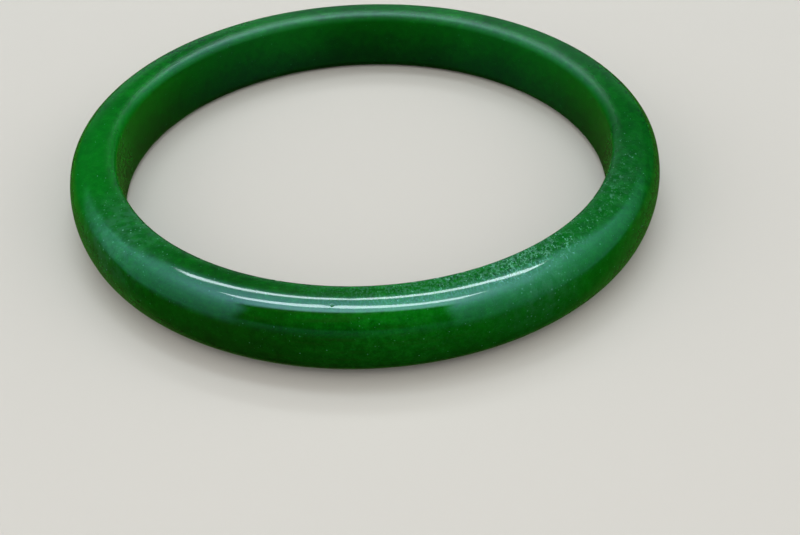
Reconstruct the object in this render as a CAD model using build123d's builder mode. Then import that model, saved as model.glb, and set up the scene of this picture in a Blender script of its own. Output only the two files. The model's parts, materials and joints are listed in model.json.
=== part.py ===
"""One-piece jade bangle bracelet.

The bangle is a single closed ring carved from one piece of stone. Its section is
a D: a straight wall against the wrist, a gently cambered top and underside, soft
shoulders and a bulged outer flank. Millimetres, +Z along the ring's own axis,
origin at the centre of the ring on the plane it lies on.
"""

import os

from build123d import *

# Driving dimensions
inner_diameter = 56.0   # clear opening that the hand passes through
band_thickness = 5.6    # from the wrist wall to the widest point of the flank
band_height = 7.9       # along the ring's axis, from underside to top
camber_radius = 6.5     # crown of the top and underside, across the section
camber_offset = 1.9     # highest line of the camber, out from the wrist wall
flank_radius = 7.1      # bulge of the outer flank, up and down the section
shoulder_radius = 2.4   # blend between camber and flank
rim_radius = 1.0        # blend between camber and wrist wall

# Worked out from the driving dimensions
inner_radius = inner_diameter / 2
outer_radius = inner_radius + band_thickness
camber_line = inner_radius + camber_offset
mid_height = band_height / 2

os.makedirs("parts", exist_ok=True)

# Jade ring: the D-section turned once round the ring's axis
with BuildPart() as jade_ring:
    with BuildSketch(Plane.XZ) as section:
        with Locations((inner_radius, 0)):
            Rectangle(band_thickness, band_height, align=(Align.MIN, Align.MIN))
        with Locations((outer_radius - flank_radius, mid_height)):
            Circle(flank_radius, mode=Mode.INTERSECT)
        with Locations((camber_line, band_height - camber_radius)):
            Circle(camber_radius, mode=Mode.INTERSECT)
        with Locations((camber_line, camber_radius)):
            Circle(camber_radius, mode=Mode.INTERSECT)
        corners = section.vertices().group_by(Axis.X)
        fillet(corners[0], radius=rim_radius)
        shoulders = section.vertices().filter_by_position(Axis.X, camber_line, outer_radius - 0.01)
        fillet(shoulders, radius=shoulder_radius)
    revolve(axis=Axis.Z)

jade_ring.part.label = "jade_ring"
export_step(jade_ring.part, "parts/jade_ring.step")
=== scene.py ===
"""Looks of the one-piece jade bangle: polished translucent green stone on a pale studio floor."""

import json
import math

import bpy
from mathutils import Matrix, Vector, noise


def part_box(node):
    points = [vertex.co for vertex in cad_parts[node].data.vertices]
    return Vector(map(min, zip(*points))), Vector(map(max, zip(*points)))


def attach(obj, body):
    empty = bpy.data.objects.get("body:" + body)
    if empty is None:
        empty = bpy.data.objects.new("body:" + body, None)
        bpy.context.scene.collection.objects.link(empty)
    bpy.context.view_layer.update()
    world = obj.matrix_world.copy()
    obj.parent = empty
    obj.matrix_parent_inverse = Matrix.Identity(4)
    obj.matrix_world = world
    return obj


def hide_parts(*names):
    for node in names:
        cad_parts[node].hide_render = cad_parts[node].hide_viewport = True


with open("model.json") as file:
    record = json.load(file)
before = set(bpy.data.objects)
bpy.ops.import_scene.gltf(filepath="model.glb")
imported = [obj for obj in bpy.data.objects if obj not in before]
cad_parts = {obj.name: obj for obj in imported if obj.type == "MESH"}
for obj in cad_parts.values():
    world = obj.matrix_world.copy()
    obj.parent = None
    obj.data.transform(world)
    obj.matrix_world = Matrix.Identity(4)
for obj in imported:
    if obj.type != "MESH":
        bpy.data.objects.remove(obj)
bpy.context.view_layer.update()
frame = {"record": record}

# ---------------------------------------------------------------- sizes of the ring, in metres
MM = 0.001
wrist_opening = next(m for m in frame["record"]["mounts"] if m["name"] == "wrist_opening")
ring_low, ring_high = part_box("jade_ring")

INNER_RADIUS = wrist_opening["dims"]["r_mm"] * MM
OUTER_RADIUS = ring_high.x
MID_HEIGHT = (ring_high.z + ring_low.z) / 2
CAMBER_LINE = INNER_RADIUS + 1.9 * MM   # radius of the highest line of the cambered top
CAMBER_RADIUS = 6.5 * MM
FLANK_RADIUS = 7.1 * MM
SHOULDER_RADIUS = 2.4 * MM
RIM_RADIUS = 1.0 * MM

# Mesh density
STEPS_AROUND = 720
WALL_STEPS, RIM_STEPS, CAMBER_STEPS, SHOULDER_STEPS, FLANK_STEPS = 6, 10, 12, 18, 14

# Unevenness that hand polishing leaves: (height, length of one wave)
POLISH_WAVES = ((0.012 * MM, 9.0 * MM), (0.004 * MM, 3.0 * MM))

# ---------------------------------------------------------------- marks in the jade, in mm
# A place is a point of the ring and the reach over which a mark there fades out
CRYSTAL_CORE = (15.5, -25.8, 7.9), 9.5       # densest crystals, inner top at the front right
CRYSTAL_CROWD = (12.5, -26.8, 7.9), 21.0     # the crowd round them
RIGHT_SCATTER = (26.0, -14.5, 7.9), 17.0     # looser crystals up the right side
FRONT_POWDER = (7.0, -28.5, 7.9), 19.0       # fine powder on the front of the inner top
LEFT_GROUP = (-24.8, -17.8, 7.8), 9.0        # a thin group on the left
FLANK_GROUP = (16.0, -28.6, 7.2), 7.5        # a thin group on the shoulder, outside the core
FRONT_GRAINS = (0.0, -33.1, 5.6), 8.0        # lighter grains high on the front flank
LOW_FRONT = (-4.0, -33.0, 2.5), 20.0         # where the painted reflection of the table's wood grain lies as olive streaks
NICK = (-3.8, -31.1, 7.75), 0.22             # a tiny nick in the polish
NICK_DEPTH = 0.05 * MM

# Greens of the body, from its deepest clouds to its lightest: (level, colour)
BODY_GREENS = ((0.39, (0.0005, 0.064, 0.0008)),
               (0.50, (0.0008, 0.109, 0.0020)),
               (0.61, (0.0040, 0.182, 0.0065)))

# Wide areas where the body leans to another colour: (place, strength, colour)
BODY_TINTS = ((((16.0, -29.0, 3.5), 22.0), 0.55, (0.0008, 0.165, 0.0030)),    # bright, low right
              (((-15.0, -30.0, 4.5), 17.0), 0.60, (0.0045, 0.056, 0.0030)),   # olive, low left
              (((-30.5, -3.0, 7.5), 24.0), 0.45, (0.0012, 0.190, 0.0050)),    # lighter green over the left side
              (((31.0, -6.0, 7.5), 27.0), 0.50, (0.0008, 0.050, 0.0020)))     # deeper green over the right side

# The other colours that get mixed in
# olive of the painted reflection of the table's wood grain on the low front
PAINTED_REFLECTION_OLIVE = (0.0110, 0.070, 0.0050)
# The wrist wall: its even green, the colour of its painted light under the rim, and the colour of its
# painted shade towards its lower edge
WALL_EVEN = (0.0008, 0.112, 0.0020)
WALL_PAINTED_LIGHT = (0.0010, 0.170, 0.0020)
WALL_PAINTED_SHADE = (0.0008, 0.020, 0.0010)
GAP_GREEN = (0.0006, 0.040, 0.0080)
GRAIN_GREEN = (0.010, 0.26, 0.025)
HAZE_PALE = (0.14, 0.42, 0.32)
CRYSTAL_PALE = (0.24, 0.64, 0.50)
SCATTER_PALE = (0.24, 0.62, 0.48)
DOT_PALE = (0.20, 0.60, 0.40)


# ---------------------------------------------------------------- ring mesh
def bearing(origin, point):
    """Angle of the way from origin to point, in radians."""
    return math.atan2(point[1] - origin[1], point[0] - origin[0])


def arc(centre, radius, start, stop, steps):
    """Points of an arc in the section plane, without its last point. Angles are in radians."""
    angles = (start + (stop - start) * i / steps for i in range(steps))
    return [(centre[0] + radius * math.cos(a), centre[1] + radius * math.sin(a)) for a in angles]


def crossing(first, first_radius, second, second_radius):
    """Where two circles cross, to the right of the way from the first centre to the second."""
    span_r, span_z = second[0] - first[0], second[1] - first[1]
    span = math.hypot(span_r, span_z)
    along = (first_radius ** 2 - second_radius ** 2 + span ** 2) / (2 * span)
    aside = math.sqrt(first_radius ** 2 - along ** 2)
    return (first[0] + (along * span_r + aside * span_z) / span,
            first[1] + (along * span_z - aside * span_r) / span)


def upper_outline():
    """The D-section from the middle of the wrist wall, over the top, to the middle of the flank."""
    camber = (CAMBER_LINE, ring_high.z - CAMBER_RADIUS)
    flank = (OUTER_RADIUS - FLANK_RADIUS, MID_HEIGHT)

    # The rim and the shoulder touch their big neighbours from inside
    rim_r = INNER_RADIUS + RIM_RADIUS
    rim_reach = CAMBER_RADIUS - RIM_RADIUS
    rim = (rim_r, camber[1] + math.sqrt(rim_reach ** 2 - (rim_r - camber[0]) ** 2))
    shoulder = crossing(camber, CAMBER_RADIUS - SHOULDER_RADIUS, flank, FLANK_RADIUS - SHOULDER_RADIUS)

    rim_end = bearing(camber, rim)
    shoulder_start = bearing(camber, shoulder)
    shoulder_end = bearing(flank, shoulder)
    wall = [(INNER_RADIUS, MID_HEIGHT + (rim[1] - MID_HEIGHT) * i / WALL_STEPS)
            for i in range(WALL_STEPS)]
    return (wall
            + arc(rim, RIM_RADIUS, math.pi, rim_end, RIM_STEPS)
            + arc(camber, CAMBER_RADIUS, rim_end, shoulder_start, CAMBER_STEPS)
            + arc(shoulder, SHOULDER_RADIUS, shoulder_start, shoulder_end, SHOULDER_STEPS)
            + arc(flank, FLANK_RADIUS, shoulder_end, 0.0, FLANK_STEPS)
            + [(OUTER_RADIUS, MID_HEIGHT)])


def section_outline():
    """The whole closed D-section as (radius, height) points: the lower half mirrors the upper."""
    upper = upper_outline()
    lower = [(r, 2 * MID_HEIGHT - z) for r, z in reversed(upper[1:-1])]
    return upper + lower


def polish_wave(point):
    """How far hand polishing leaves the surface off the true form at a point."""
    return sum(height * noise.noise(point / length) for height, length in POLISH_WAVES)


def add_surface(name, vertices, faces):
    """A smoothly shaded mesh object in the scene."""
    mesh = bpy.data.meshes.new(name)
    mesh.from_pydata(vertices, [], faces)
    mesh.shade_smooth()
    surface = bpy.data.objects.new(name, mesh)
    bpy.context.scene.collection.objects.link(surface)
    return surface


def build_ring():
    """The section turned round the Z axis, with the polish wave added at every point."""
    outline = section_outline()
    middle = Vector(((INNER_RADIUS + OUTER_RADIUS) / 2, MID_HEIGHT))
    count = len(outline)
    vertices, faces = [], []
    for step in range(STEPS_AROUND):
        turn = 2 * math.pi * step / STEPS_AROUND
        cos_turn, sin_turn = math.cos(turn), math.sin(turn)
        for r, z in outline:
            outward = (Vector((r, z)) - middle).normalized()
            lift = polish_wave(Vector((r * cos_turn, r * sin_turn, z)))
            r_lifted = r + outward.x * lift
            vertices.append((r_lifted * cos_turn, r_lifted * sin_turn, z + outward.y * lift))
        here, ahead = step * count, (step + 1) % STEPS_AROUND * count
        for i in range(count):
            j = (i + 1) % count
            faces.append((here + i, here + j, ahead + j, ahead + i))
    return add_surface("polished_jade_ring", vertices, faces)


# ---------------------------------------------------------------- shader nodes
def add_node(tree, kind, inputs=None, **settings):
    """Adds a node; inputs maps a socket's name or number to a value or to another node's output."""
    node = tree.nodes.new(kind)
    for name, value in settings.items():
        setattr(node, name, value)
    for key, value in (inputs or {}).items():
        if isinstance(value, bpy.types.NodeSocket):
            tree.links.new(value, node.inputs[key])
        else:
            node.inputs[key].default_value = value
    return node


def math_node(tree, operation, *values):
    node = add_node(tree, "ShaderNodeMath", dict(enumerate(values)), operation=operation)
    return node.outputs[0]


def product(tree, *factors):
    """All the factors multiplied together."""
    result = factors[0]
    for factor in factors[1:]:
        result = math_node(tree, "MULTIPLY", result, factor)
    return result


def greatest(tree, *values):
    """The greatest of the values."""
    result = values[0]
    for value in values[1:]:
        result = math_node(tree, "MAXIMUM", result, value)
    return result


def scale_and_add(tree, value, factor, addend):
    return math_node(tree, "MULTIPLY_ADD", value, factor, addend)


def vector_node(tree, operation, *values):
    return add_node(tree, "ShaderNodeVectorMath", dict(enumerate(values)), operation=operation)


def scale_vector(tree, vector, factor):
    node = add_node(tree, "ShaderNodeVectorMath", {0: vector, "Scale": factor}, operation="SCALE")
    return node.outputs[0]


def stretch(tree, vector, factors):
    return vector_node(tree, "MULTIPLY", vector, factors).outputs[0]


def smooth_range(tree, value, low, high, to_low=0.0, to_high=1.0):
    """An eased step: to_low where value is at low, and to_high where it is at high."""
    node = add_node(tree, "ShaderNodeMapRange",
                    {"Value": value, "From Min": low, "From Max": high,
                     "To Min": to_low, "To Max": to_high},
                    interpolation_type="SMOOTHSTEP")
    return node.outputs["Result"]


def mix_colour(tree, factor, first, second):
    node = add_node(tree, "ShaderNodeMix", {"Factor": factor, 6: first, 7: second},
                    data_type="RGBA")
    return node.outputs[2]


def tint(tree, colour, amount, shade):
    """Turns a colour towards a fixed shade, by an amount from 0 to 1."""
    return mix_colour(tree, amount, colour, (*shade, 1))


def colour_ramp(tree, value, stops):
    """Colours between (position, colour) stops."""
    ramp = add_node(tree, "ShaderNodeValToRGB", {"Fac": value})
    elements = ramp.color_ramp.elements
    while len(elements) < len(stops):
        elements.new(0.5)
    for element, (position, colour) in zip(elements, stops):
        element.position = position
        element.color = (*colour, 1)
    return ramp.outputs["Color"]


# ---------------------------------------------------------------- patterns in the stone
# Points and reaches are in mm. per_mm is how many grains of a pattern come to a millimetre
def noise_value(tree, point, per_mm, detail=3.0, roughness=0.6, distortion=0.0):
    node = add_node(tree, "ShaderNodeTexNoise",
                    {"Vector": point, "Scale": per_mm, "Detail": detail,
                     "Roughness": roughness, "Distortion": distortion})
    return node.outputs["Fac"]


def near(tree, point, place):
    """1 at the middle of a place, falling smoothly to 0 at its reach."""
    middle, reach = place
    distance = vector_node(tree, "DISTANCE", point, middle).outputs["Value"]
    return smooth_range(tree, distance, reach, 0.0)


def specks(tree, point, per_mm, size, share):
    """Single round specks: size is a share of a cell, and share is how many cells hold one."""
    cells = add_node(tree, "ShaderNodeTexVoronoi", {"Vector": point, "Scale": per_mm})
    chance = add_node(tree, "ShaderNodeSeparateColor", {"Color": cells.outputs["Color"]})
    spot = smooth_range(tree, cells.outputs["Distance"], size, size * 0.2)
    held = math_node(tree, "LESS_THAN", chance.outputs[0], share)
    strength = smooth_range(tree, chance.outputs[1], 0.0, 1.0, 0.2, 1.0)
    return product(tree, spot, held, strength)


def veins(tree, point, per_mm, width):
    """A network of pale lines between small grains; width is a share of a grain's size."""
    bend = add_node(tree, "ShaderNodeTexNoise",
                    {"Vector": point, "Scale": per_mm, "Detail": 2.0}).outputs["Color"]
    reach = 0.7 / per_mm   # the grains are bent out of shape by up to this much
    bent = vector_node(tree, "MULTIPLY_ADD", bend, (reach, reach, reach), point).outputs[0]
    cells = add_node(tree, "ShaderNodeTexVoronoi", {"Vector": bent, "Scale": per_mm},
                     feature="DISTANCE_TO_EDGE")
    return smooth_range(tree, cells.outputs["Distance"], width, 0.0)


def crystals(tree, point, per_mm, richness, spread, edge=0.06):
    """Ragged pale grains, the more of them the higher the richness, which runs from 0 to 1."""
    pale_from = 0.70
    level = scale_and_add(tree, richness, spread, noise_value(tree, point, per_mm))
    return smooth_range(tree, level, pale_from, pale_from + edge)


# ---------------------------------------------------------------- the jade
def jade_body(tree, point):
    """The green of the stone: slow clouds, mottling and fine grain, then wide tints that make some
    areas lighter and others deeper.
    """
    clouds = noise_value(tree, point, 0.10, roughness=0.5, distortion=0.4)
    mottle = noise_value(tree, point, 1.1, detail=5.0)
    grain = noise_value(tree, point, 4.5)
    level = scale_and_add(tree, clouds, 0.35, product(tree, mottle, 0.38))
    level = scale_and_add(tree, grain, 0.27, level)
    colour = colour_ramp(tree, level, BODY_GREENS)
    for place, strength, shade in BODY_TINTS:
        colour = tint(tree, colour, product(tree, near(tree, point, place), strength), shade)
    return colour


def painted_table_reflection_streaks(tree, colour, point):
    """Painted reflection of the table's wood grain: olive streaks that run level round the low front.
    """
    flattened = stretch(tree, point, (0.12, 0.12, 3.0))
    # painted reflection of the table's grain, as level olive streaks
    reflected_streaks = smooth_range(tree, noise_value(tree, flattened, 1.0, detail=4.0), 0.48, 0.66)
    amount = product(tree, reflected_streaks, near(tree, point, LOW_FRONT), 0.5)
    return tint(tree, colour, amount, PAINTED_REFLECTION_OLIVE)


def wrist_wall_painted_light_and_shade(tree, colour, from_wall, height):
    """Painted light and shade on the wrist wall, over an even wall green: a painted lighter band under
    the rim, where light comes from above through the rim, and painted shade that deepens towards its
    lower edge.
    """
    wall = smooth_range(tree, from_wall, 0.30, 0.05)
    colour = tint(tree, colour, product(tree, wall, 0.20), WALL_EVEN)
    # painted light: lighter high on the wall, under the rim
    painted_light = product(tree, wall, smooth_range(tree, height, 4.0, 7.0, 0.0, 0.35))
    colour = tint(tree, colour, painted_light, WALL_PAINTED_LIGHT)
    # painted shade: darker towards the wall's lower edge
    painted_shade = product(tree, wall, smooth_range(tree, height, 6.0, 1.0, 0.0, 0.70))
    return tint(tree, colour, painted_shade, WALL_PAINTED_SHADE)


def dark_gaps(tree, colour, grain_point, crowd):
    """Darker green in the gaps of the crystal crowd."""
    gaps = smooth_range(tree, noise_value(tree, grain_point, 2.4), 0.56, 0.40)
    return tint(tree, colour, product(tree, gaps, crowd, 0.7), GAP_GREEN)


def haze(tree, colour, point, grain_point, cloudiness, powdered):
    """Pale haze in soft clouds, and fine powder where the front is powdered."""
    clouds = smooth_range(tree, noise_value(tree, point, 0.9, detail=4.0), 0.40, 0.62)
    clouds = product(tree, cloudiness, scale_and_add(tree, clouds, 0.8, 0.2))
    powder = smooth_range(tree, noise_value(tree, grain_point, 4.5, detail=2.0), 0.44, 0.64)
    powder = scale_and_add(tree, powder, 0.22, 0.01)
    return tint(tree, colour, scale_and_add(tree, powdered, powder, clouds), HAZE_PALE)


def crowded_crystals(tree, colour, point, grain_point, crowd, core):
    """Ragged grains and bright points all over the crowd, and a broken network in its core."""
    broken = noise_value(tree, point, 1.3, detail=2.0, roughness=0.55)
    broken = smooth_range(tree, broken, 0.42, 0.60)
    network = product(tree, veins(tree, grain_point, 2.4, width=0.15), broken, core, 0.5)
    grains = product(tree, crystals(tree, grain_point, 3.6, crowd, spread=0.14), 0.6)
    points = product(tree, specks(tree, grain_point, 3.2, size=0.32, share=0.20), crowd)
    amount = product(tree, greatest(tree, grains, network, points), 0.75)
    return tint(tree, colour, amount, CRYSTAL_PALE)


def front_grains(tree, colour, point):
    """Lighter green grains high on the front flank."""
    grains = crystals(tree, point, 1.5, near(tree, point, FRONT_GRAINS), spread=0.12, edge=0.16)
    return tint(tree, colour, product(tree, grains, 0.45), GRAIN_GREEN)


def scattered_crystals(tree, colour, point, grain_point, scatter, groups):
    """Faint grains and single specks in the scatter, and specks gathered in the two groups."""
    soft = product(tree, crystals(tree, grain_point, 1.7, scatter, spread=0.14, edge=0.24), 0.26)
    tiny = product(tree, crystals(tree, grain_point, 4.0, scatter, spread=0.13, edge=0.12), 0.13)
    gathered = product(tree, specks(tree, point, 2.4, size=0.32, share=0.35), groups)
    single = product(tree, specks(tree, grain_point, 1.7, size=0.22, share=0.22), scatter, 0.55)
    return tint(tree, colour, greatest(tree, soft, tiny, gathered, single), SCATTER_PALE)


def lone_dots(tree, colour, point):
    """Small pale dots, thinly spread over the whole ring."""
    dots = greatest(tree, specks(tree, point, 1.0, size=0.13, share=0.08),
                    specks(tree, point, 2.2, size=0.22, share=0.08))
    return tint(tree, colour, product(tree, dots, 0.42), DOT_PALE)


def pale_inclusions(tree, colour, point, from_wall):
    """Pale crystals crowd the inner top at the front right, and gather in a thin group on the left."""
    inner_top = smooth_range(tree, from_wall, 4.2, 2.6, 0.1, 1.0)
    core = product(tree, near(tree, point, CRYSTAL_CORE), inner_top)
    crowd = product(tree, near(tree, point, CRYSTAL_CROWD), inner_top)
    scatter = product(tree, near(tree, point, RIGHT_SCATTER), inner_top)
    powdered = product(tree, near(tree, point, FRONT_POWDER), inner_top)
    left_group = near(tree, point, LEFT_GROUP)
    flank_group = near(tree, point, FLANK_GROUP)
    patches = smooth_range(tree, noise_value(tree, point, 0.55), 0.38, 0.60)
    crowd = product(tree, crowd, scale_and_add(tree, patches, 0.6, 0.4))
    cloudiness = greatest(tree, product(tree, core, 0.04), product(tree, left_group, 0.13),
                          product(tree, flank_group, 0.09), product(tree, scatter, 0.06))
    groups = greatest(tree, product(tree, left_group, 0.45), product(tree, flank_group, 0.40))
    grain_point = stretch(tree, point, (1.0, 0.65, 1.0))   # grains run longer from front to back

    colour = dark_gaps(tree, colour, grain_point, crowd)
    colour = haze(tree, colour, point, grain_point, cloudiness, powdered)
    colour = crowded_crystals(tree, colour, point, grain_point, crowd, core)
    colour = front_grains(tree, colour, point)
    colour = scattered_crystals(tree, colour, point, grain_point, scatter, groups)
    return lone_dots(tree, colour, point)


def polish_roughness(tree, point, from_wall):
    """Even gloss with faint smears, duller where the wrist rubs and on the far half's top."""
    smear = noise_value(tree, point, 0.5)
    gloss = smooth_range(tree, smear, 0.3, 0.7, 0.04, 0.08)
    rubbed = smooth_range(tree, from_wall, 1.8, 0.6)
    across, depth, _ = add_node(tree, "ShaderNodeSeparateXYZ", {0: point}).outputs
    far_half = product(tree, smooth_range(tree, depth, -5.0, 18.0),
                       smooth_range(tree, across, -30.0, -8.0, 0.3, 1.0))
    dull = product(tree, far_half, smooth_range(tree, from_wall, 5.4, 3.8))
    return scale_and_add(tree, dull, 0.27, scale_and_add(tree, rubbed, 0.20, gloss))


def jade_material():
    """Polished translucent jade. Its patterns are tied to the ring, in millimetres."""
    material = bpy.data.materials.new("polished_jade")
    material.use_nodes = True
    tree = material.node_tree
    tree.nodes.clear()
    place = add_node(tree, "ShaderNodeTexCoord").outputs["Object"]
    point = scale_vector(tree, place, 1 / MM)
    radius = vector_node(tree, "LENGTH", stretch(tree, point, (1, 1, 0))).outputs["Value"]
    # from_wall is how far out from the wrist wall a point lies
    from_wall = math_node(tree, "SUBTRACT", radius, INNER_RADIUS / MM)
    height = add_node(tree, "ShaderNodeSeparateXYZ", {0: point}).outputs["Z"]

    # the low front gets a painted reflection of the table's wood grain
    colour = painted_table_reflection_streaks(tree, jade_body(tree, point), point)
    # painted light and shade on the wrist wall
    colour = wrist_wall_painted_light_and_shade(tree, colour, from_wall, height)
    colour = pale_inclusions(tree, colour, point, from_wall)
    bump = add_node(tree, "ShaderNodeBump",
                    {"Strength": 1.0, "Distance": NICK_DEPTH, "Height": near(tree, point, NICK)},
                    invert=True)
    shader = add_node(tree, "ShaderNodeBsdfPrincipled",
                      {"Base Color": colour, "Roughness": polish_roughness(tree, point, from_wall),
                       "IOR": 1.66, "Normal": bump.outputs["Normal"],
                       "Subsurface Weight": 0.8, "Subsurface Scale": 2.2 * MM,
                       "Subsurface Radius": (0.25, 1.0, 0.35)})
    add_node(tree, "ShaderNodeOutputMaterial", {"Surface": shader.outputs[0]})
    return material


# ---------------------------------------------------------------- studio
def floor_material():
    """Pale and even; out where the lamps don't reach, it glows a little, to stay pale."""
    material = bpy.data.materials.new("pale_floor")
    material.use_nodes = True
    tree = material.node_tree
    shader = tree.nodes["Principled BSDF"]
    shader.inputs["Base Color"].default_value = (0.60, 0.56, 0.51, 1)
    shader.inputs["Roughness"].default_value = 0.7
    shader.inputs["Specular IOR Level"].default_value = 0.2
    shader.inputs["Emission Color"].default_value = (0.68, 0.67, 0.62, 1)
    glow_start, glow_full = 0.5, 1.8
    place = add_node(tree, "ShaderNodeTexCoord").outputs["Object"]
    distance = vector_node(tree, "LENGTH", place).outputs["Value"]
    glow = smooth_range(tree, distance, glow_start, glow_full)
    tree.links.new(glow, shader.inputs["Emission Strength"])
    return material


def build_floor():
    """A pale floor that curves up into a wall all round. The real table is dark, so the pale one
    is kept out of the stone's reflections and sends no light back into it."""
    flat_radius, sweep_radius, wall_height = 1.9, 1.0, 3.0
    flat_steps, sweep_steps, steps_around = 4, 16, 96
    profile = [(flat_radius * i / flat_steps, 0.0) for i in range(1, flat_steps)]
    for i in range(sweep_steps + 1):
        angle = math.pi / 2 * i / sweep_steps
        profile.append((flat_radius + sweep_radius * math.sin(angle),
                        sweep_radius * (1 - math.cos(angle))))
    profile.append((flat_radius + sweep_radius, wall_height))
    vertices, faces = [(0, 0, 0)], []
    for step in range(steps_around):
        turn = 2 * math.pi * step / steps_around
        vertices += [(r * math.cos(turn), r * math.sin(turn), z) for r, z in profile]
        here = 1 + step * len(profile)
        ahead = 1 + (step + 1) % steps_around * len(profile)
        faces.append((0, here, ahead))
        faces += [(here + i, here + i + 1, ahead + i + 1, ahead + i)
                  for i in range(len(profile) - 1)]
    floor = add_surface("floor", vertices, faces)
    floor.location.z = ring_low.z
    floor.visible_glossy = False
    floor.visible_diffuse = False
    floor.data.materials.append(floor_material())


def add_panel(name, location, facing, top, size, radiance, colour=(1, 1, 1), mirrored=False):
    """A flat light whose face looks along facing and whose height runs along top.

    Its power follows from its size and radiance. Only a mirrored one shows in the polish."""
    width, height = size
    light = bpy.data.lights.new(name, "AREA")
    light.shape = "RECTANGLE"
    light.size, light.size_y = width, height
    light.energy = math.pi * width * height * radiance
    light.color = colour
    panel = bpy.data.objects.new(name, light)
    back = -Vector(facing).normalized()
    side = Vector(top).cross(back).normalized()
    turn = Matrix((side, back.cross(side), back)).transposed().to_4x4()
    panel.matrix_world = Matrix.Translation(location) @ turn
    panel.visible_glossy = mirrored
    bpy.context.scene.collection.objects.link(panel)


def add_tube(name, start, end, thickness):
    """A strip light under the ceiling between two (x, y) points; the polish mirrors it as a line."""
    height, radiance, colour = 1.0, 8.2, (0.80, 0.92, 1.0)
    middle = ((start[0] + end[0]) / 2, (start[1] + end[1]) / 2, height)
    run = Vector(end) - Vector(start)
    add_panel(name, middle, (0, 0, -1), (-run.y, run.x, 0), (run.length, thickness), radiance,
              colour, mirrored=True)


def build_lights():
    """Neutral fills that light the stone, and two lines of tubes that its polish mirrors."""
    down, left, right, up = (0, 0, -1), (-1, 0, 0), (1, 0, 0), (0, 0, 1)
    ceiling_size, fill_size = (2.4, 1.8), (2.2, 1.3)
    far_thickness, near_thickness = 0.105, 0.125
    add_panel("ceiling", (0, 0.3, 1.3), down, (0, 1, 0), ceiling_size, radiance=0.93)
    add_panel("left_fill", (-1.2, -0.3, 0.65), right, up, fill_size, radiance=1.6)
    add_panel("right_fill", (1.2, -0.3, 0.65), left, up, fill_size, radiance=1.5)
    add_panel("front_fill", (0, -1.0, 1.0), (0, 1, -0.8), (0, 0.8, 1), fill_size, radiance=0.86)
    add_tube("far_tube_left", (-0.43, 0.70), (-0.04, 0.75), far_thickness)
    add_tube("far_tube_right", (-0.04, 0.75), (0.39, 0.58), far_thickness)
    add_tube("near_tube_left", (-0.40, 0.30), (-0.10, 0.36), near_thickness)
    add_tube("near_tube_right", (-0.10, 0.36), (0.30, 0.12), near_thickness)


# ---------------------------------------------------------------- the room that the polish mirrors
# x, y and z are the parts of the direction that is looked in: right, away from the viewer and up
ROOM_BRIGHTNESS = 4.0
ROOM_COLOURS = ((0.00, (0.025, 0.110, 0.088)), (0.30, (0.036, 0.155, 0.125)),   # (z, colour)
                (0.60, (0.055, 0.220, 0.195)), (0.78, (0.10, 0.320, 0.330)),
                (0.90, (0.20, 0.495, 0.620)), (0.98, (0.40, 0.800, 0.980)))
TABLE_NEAR, TABLE_FAR = (0.012, 0.010, 0.003, 1), (0.044, 0.098, 0.020, 1)
LOW_GLOW = (0.11, 0.13, 0.19)


def dark_viewer(tree, x, y, z):
    """How much the viewer, who stands in front, fills a direction: slanting sides, a round head."""
    left_side = scale_and_add(tree, product(tree, z, z), -0.31, x)
    right_side = scale_and_add(tree, product(tree, z, z), 0.17, x)
    head = scale_and_add(tree, x, 0.25, scale_and_add(tree, product(tree, x, x), 0.75, y))
    outline = product(tree, smooth_range(tree, left_side, -0.77, -0.71),
                      smooth_range(tree, right_side, 0.485, 0.425),
                      smooth_range(tree, head, 0.02, -0.16))
    return product(tree, outline, smooth_range(tree, z, 0.0, 0.10, 0.7, 1.0))


def dark_far_side(tree, x, y, z, corner):
    """How much the dim far side fills a direction: all that lies low, and straight on a tall wall."""
    straight_on = smooth_range(tree, math_node(tree, "ABSOLUTE", x), 0.56, 0.42)
    wall = product(tree, smooth_range(tree, y, 0.46, 0.64), smooth_range(tree, z, 0.77, 0.68),
                   straight_on)
    return product(tree, greatest(tree, wall, smooth_range(tree, corner, 0.31, 0.42)), 0.80)


def teal_room(tree, x, y, z):
    """The teal walls and the bright ceiling, with the viewer and the far side kept dark."""
    corner = scale_and_add(tree, x, 0.045, scale_and_add(tree, z, -0.65, y))
    no_viewer = math_node(tree, "SUBTRACT", 1.0, dark_viewer(tree, x, y, z))
    no_far_side = math_node(tree, "SUBTRACT", 1.0, dark_far_side(tree, x, y, z, corner))
    lighter_left = smooth_range(tree, x, 0.1, -0.6, 1.0, 1.20)
    fading_back = smooth_range(tree, corner, 0.05, 0.33, 1.0, 0.45)
    strength = product(tree, no_viewer, no_far_side, lighter_left, fading_back, ROOM_BRIGHTNESS)
    return scale_vector(tree, colour_ramp(tree, z, ROOM_COLOURS), strength)


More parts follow.
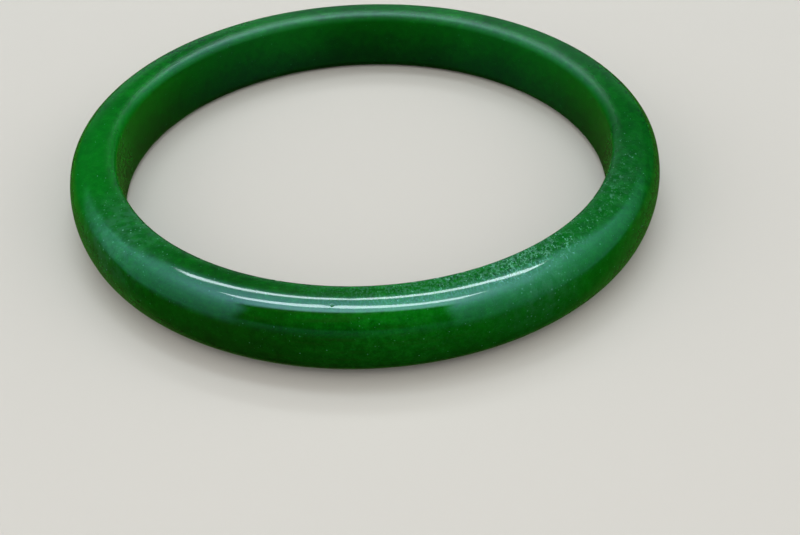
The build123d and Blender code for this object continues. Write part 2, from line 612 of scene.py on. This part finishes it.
def low_far_glow(tree, y, z):
    """Pale light from low behind the ring, which softens the far part of the top."""
    amount = product(tree, smooth_range(tree, y, 0.80, 0.95), smooth_range(tree, z, 0.50, 0.20))
    return scale_vector(tree, LOW_GLOW, amount)


def build_world():
    """A teal-lit room over a dark table. The stone mirrors it, but isn't lit by it."""
    world = bpy.data.worlds.new("studio")
    world.use_nodes = True
    tree = world.node_tree
    direction = add_node(tree, "ShaderNodeTexCoord").outputs["Generated"]
    x, y, z = add_node(tree, "ShaderNodeSeparateXYZ", {0: direction}).outputs
    room = vector_node(tree, "ADD", teal_room(tree, x, y, z), low_far_glow(tree, y, z)).outputs[0]
    table = mix_colour(tree, smooth_range(tree, y, 0.0, 0.4), TABLE_NEAR, TABLE_FAR)
    table_edge = math_node(tree, "ADD", z, smooth_range(tree, y, -0.10, 0.35, 0.23, 0.0))
    colour = mix_colour(tree, smooth_range(tree, table_edge, -0.13, 0.13), table, room)
    tree.links.new(colour, tree.nodes["Background"].inputs["Color"])
    world.cycles_visibility.diffuse = False
    bpy.context.scene.world = world


def build_camera():
    """The camera stands close in front of the ring and looks down on it, a little off its centre."""
    distance = 0.133
    elevation = math.radians(34.42)
    pan, tilt, roll = math.radians(-1.48), math.radians(-4.44), math.radians(2.68)
    camera = bpy.data.cameras.new("camera")
    camera.sensor_width = 36.0
    camera.lens = 50.2
    camera.clip_start = 0.005
    camera_object = bpy.data.objects.new("camera", camera)
    bpy.context.scene.collection.objects.link(camera_object)
    stand = Vector((0, -math.cos(elevation), math.sin(elevation))) * distance
    towards_ring = (-stand).to_track_quat("-Z", "Y").to_matrix().to_4x4()
    camera_object.matrix_world = (Matrix.Translation(stand) @ towards_ring
                                  @ Matrix.Rotation(pan, 4, "Y")
                                  @ Matrix.Rotation(tilt, 4, "X")
                                  @ Matrix.Rotation(-roll, 4, "Z"))
    bpy.context.scene.camera = camera_object


# ---------------------------------------------------------------- the scene
ring = build_ring()
ring.data.materials.append(jade_material())
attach(ring, "root")
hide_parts("jade_ring")

build_floor()
build_lights()
build_world()
build_camera()
bpy.context.scene.view_settings.view_transform = "Standard"
